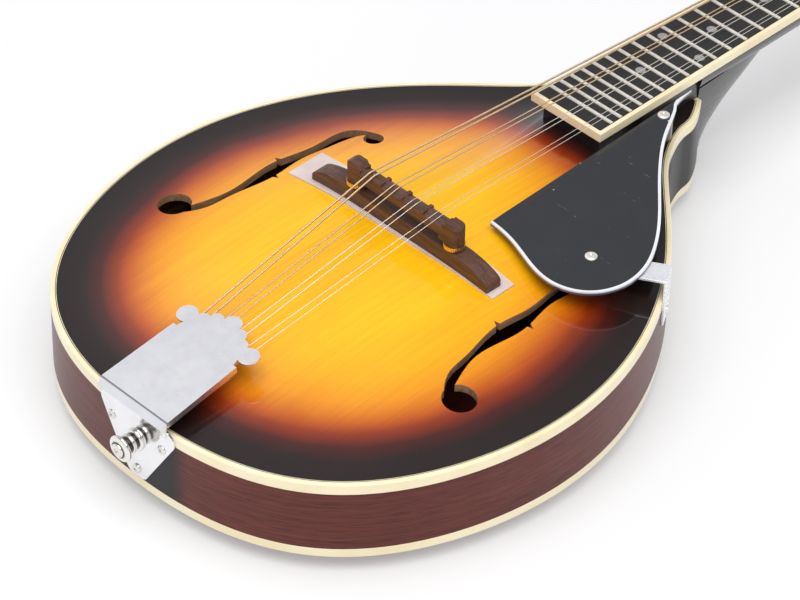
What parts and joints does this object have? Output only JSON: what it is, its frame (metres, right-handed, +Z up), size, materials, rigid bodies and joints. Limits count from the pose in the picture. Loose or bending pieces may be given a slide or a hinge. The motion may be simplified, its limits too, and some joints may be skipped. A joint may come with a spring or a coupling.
{
  "type": "mandolin",
  "caption": "Teardrop-bodied carved-top stringed instrument with f-shaped sound holes, adjustable wooden bridge, sliding tailpiece cover, raised pickguard and worm-geared tuners.",
  "frame": {"origin": "on the flat crown of the carved back, under the nominal end of the string scale, midway between the two sides", "axes": "+X to the treble side, +Y along the neck to the headstock, +Z up out of the soundboard; the instrument lies on its back"},
  "size_m": [0.262, 0.6758, 0.0825],
  "materials": {
    "sunburst_top": "high gloss, amber centre shading through red-brown to black at the edge",
    "side_wood": "satin gloss red-brown with fine straight grain",
    "inner_wood": "unfinished pale wood",
    "cream_binding": "gloss",
    "purfling": "black and white lines under gloss",
    "neck_wood": "satin gloss",
    "ebonized_board": "satin black with fine pores",
    "fret_metal": "polished nickel silver",
    "pearl": "pearl",
    "bone": "polished",
    "overlay": "gloss black",
    "chrome": "bright plated",
    "machine_steel": "plated",
    "rosewood": "oiled, open pored",
    "brass": "turned and knurled",
    "packing_film": "soft foam",
    "guard_black": "gloss with fine scuffs",
    "guard_white": "gloss",
    "wound_string": "bronze wound",
    "plain_string": "bright"
  },
  "bodies": {
    "body": {"top_plate": "sunburst_top", "back_plate": "side_wood", "rim_bass": "side_wood", "rim_treble": "side_wood", "top_binding": "cream_binding", "back_binding": "cream_binding", "top_purfling": "purfling", "linings": "inner_wood", "neck_block": "inner_wood", "tail_block": "inner_wood", "tone_bars": "inner_wood", "neck": "neck_wood", "heel_cap": "overlay", "truss_rod": "machine_steel", "truss_rod_cover": "overlay", "frets": "fret_metal", "fret_markers": "pearl", "fingerboard": "ebonized_board", "fingerboard_binding": "cream_binding", "nut": "bone", "headstock_overlay": "overlay", "headstock_screws": "machine_steel", "tuner_bushings": "chrome", "tuner_plate_bass": "machine_steel", "tuner_plate_treble": "machine_steel", "bridge_film": "packing_film", "bridge_base": "rosewood", "bridge_studs": "brass", "tailpiece_base": "chrome", "tailpiece_screws": "chrome", "strap_button": "chrome", "strap_button_screw": "chrome", "pickguard": "guard_black", "pickguard_binding": "guard_white", "pickguard_bracket": "chrome", "pickguard_block": "overlay", "pickguard_screws": "chrome", "wound_strings": "wound_string", "plain_strings": "plain_string"},
    "bridge_saddle": {"bridge_saddle": "rosewood"},
    "wheel_bass": {"thumbwheel_bass": "brass"},
    "wheel_treble": {"thumbwheel_treble": "brass"},
    "tailpiece_cover": {"tailpiece_cover": "chrome"},
    "truss_rod_nut": {"truss_rod_nut": "machine_steel"},
    "tuner_post_1": {"tuner_post_1": "machine_steel"},
    "tuner_knob_1": {"tuner_knob_1": "chrome"},
    "tuner_post_2": {"tuner_post_2": "machine_steel"},
    "tuner_knob_2": {"tuner_knob_2": "chrome"},
    "tuner_post_3": {"tuner_post_3": "machine_steel"},
    "tuner_knob_3": {"tuner_knob_3": "chrome"},
    "tuner_post_4": {"tuner_post_4": "machine_steel"},
    "tuner_knob_4": {"tuner_knob_4": "chrome"},
    "tuner_post_5": {"tuner_post_5": "machine_steel"},
    "tuner_knob_5": {"tuner_knob_5": "chrome"},
    "tuner_post_6": {"tuner_post_6": "machine_steel"},
    "tuner_knob_6": {"tuner_knob_6": "chrome"},
    "tuner_post_7": {"tuner_post_7": "machine_steel"},
    "tuner_knob_7": {"tuner_knob_7": "chrome"},
    "tuner_post_8": {"tuner_post_8": "machine_steel"},
    "tuner_knob_8": {"tuner_knob_8": "chrome"}
  },
  "joints": [
    {"name": "saddle_lift", "type": "slide", "parent": "body", "child": "bridge_saddle", "axis": [0, 0, 1], "range_m": [-0.00035, 0.0021], "deforming": ["wound_strings", "plain_strings"]},
    {"name": "thumbwheel_bass_turn", "type": "hinge", "parent": "bridge_saddle", "child": "wheel_bass", "pos_m": [-0.031, -0.0055, 0.0707], "axis": [0, 0, 1], "range_deg": [-181, 1081]},
    {"name": "thumbwheel_treble_turn", "type": "hinge", "parent": "bridge_saddle", "child": "wheel_treble", "pos_m": [0.031, -0.0055, 0.0707], "axis": [0, 0, 1], "range_deg": [-181, 1081]},
    {"name": "tailpiece_cover_slide", "type": "slide", "parent": "body", "child": "tailpiece_cover", "axis": [0, -0.9899, -0.1416], "range_m": [0, 0.045]},
    {"name": "truss_rod_nut_turn", "type": "hinge", "parent": "body", "child": "truss_rod_nut", "pos_m": [0, 0.36775, 0.04753], "axis": [0, 0.9993, -0.0382], "range_deg": [-180, 180]},
    {"name": "tuner_knob_1_turn", "type": "hinge", "parent": "body", "child": "tuner_knob_1", "pos_m": [-0.017, 0.38209, 0.02998], "axis": [1, 0, 0], "continuous": true},
    {"name": "tuner_post_1_turn", "type": "hinge", "parent": "body", "child": "tuner_post_1", "pos_m": [-0.017, 0.38068, 0.05046], "axis": [0, 0.262, 0.9651], "continuous": true},
    {"name": "tuner_knob_2_turn", "type": "hinge", "parent": "body", "child": "tuner_knob_2", "pos_m": [-0.017, 0.40429, 0.02395], "axis": [1, 0, 0], "continuous": true},
    {"name": "tuner_post_2_turn", "type": "hinge", "parent": "body", "child": "tuner_post_2", "pos_m": [-0.017, 0.40288, 0.04444], "axis": [0, 0.262, 0.9651], "continuous": true},
    {"name": "tuner_knob_3_turn", "type": "hinge", "parent": "body", "child": "tuner_knob_3", "pos_m": [-0.017, 0.42648, 0.01792], "axis": [1, 0, 0], "continuous": true},
    {"name": "tuner_post_3_turn", "type": "hinge", "parent": "body", "child": "tuner_post_3", "pos_m": [-0.017, 0.42508, 0.03841], "axis": [0, 0.262, 0.9651], "continuous": true},
    {"name": "tuner_knob_4_turn", "type": "hinge", "parent": "body", "child": "tuner_knob_4", "pos_m": [-0.017, 0.44868, 0.0119], "axis": [1, 0, 0], "continuous": true},
    {"name": "tuner_post_4_turn", "type": "hinge", "parent": "body", "child": "tuner_post_4", "pos_m": [-0.017, 0.44727, 0.03238], "axis": [0, 0.262, 0.9651], "continuous": true},
    {"name": "tuner_knob_5_turn", "type": "hinge", "parent": "body", "child": "tuner_knob_5", "pos_m": [0.017, 0.38209, 0.02998], "axis": [1, 0, 0], "continuous": true},
    {"name": "tuner_post_5_turn", "type": "hinge", "parent": "body", "child": "tuner_post_5", "pos_m": [0.017, 0.38068, 0.05046], "axis": [0, 0.262, 0.9651], "continuous": true},
    {"name": "tuner_knob_6_turn", "type": "hinge", "parent": "body", "child": "tuner_knob_6", "pos_m": [0.017, 0.40429, 0.02395], "axis": [1, 0, 0], "continuous": true},
    {"name": "tuner_post_6_turn", "type": "hinge", "parent": "body", "child": "tuner_post_6", "pos_m": [0.017, 0.40288, 0.04444], "axis": [0, 0.262, 0.9651], "continuous": true},
    {"name": "tuner_knob_7_turn", "type": "hinge", "parent": "body", "child": "tuner_knob_7", "pos_m": [0.017, 0.42648, 0.01792], "axis": [1, 0, 0], "continuous": true},
    {"name": "tuner_post_7_turn", "type": "hinge", "parent": "body", "child": "tuner_post_7", "pos_m": [0.017, 0.42508, 0.03841], "axis": [0, 0.262, 0.9651], "continuous": true},
    {"name": "tuner_knob_8_turn", "type": "hinge", "parent": "body", "child": "tuner_knob_8", "pos_m": [0.017, 0.44868, 0.0119], "axis": [1, 0, 0], "continuous": true},
    {"name": "tuner_post_8_turn", "type": "hinge", "parent": "body", "child": "tuner_post_8", "pos_m": [0.017, 0.44727, 0.03238], "axis": [0, 0.262, 0.9651], "continuous": true}
  ],
  "couplings": [
    {"joint": "thumbwheel_bass_turn", "follows": "saddle_lift", "rad_per_m": 8976},
    {"joint": "thumbwheel_treble_turn", "follows": "saddle_lift", "rad_per_m": 8976},
    {"joint": "tuner_post_1_turn", "follows": "tuner_knob_1_turn", "ratio": 0.066667},
    {"joint": "tuner_post_2_turn", "follows": "tuner_knob_2_turn", "ratio": 0.066667},
    {"joint": "tuner_post_3_turn", "follows": "tuner_knob_3_turn", "ratio": 0.066667},
    {"joint": "tuner_post_4_turn", "follows": "tuner_knob_4_turn", "ratio": 0.066667},
    {"joint": "tuner_post_5_turn", "follows": "tuner_knob_5_turn", "ratio": 0.066667},
    {"joint": "tuner_post_6_turn", "follows": "tuner_knob_6_turn", "ratio": 0.066667},
    {"joint": "tuner_post_7_turn", "follows": "tuner_knob_7_turn", "ratio": 0.066667},
    {"joint": "tuner_post_8_turn", "follows": "tuner_knob_8_turn", "ratio": 0.066667}
  ]
}
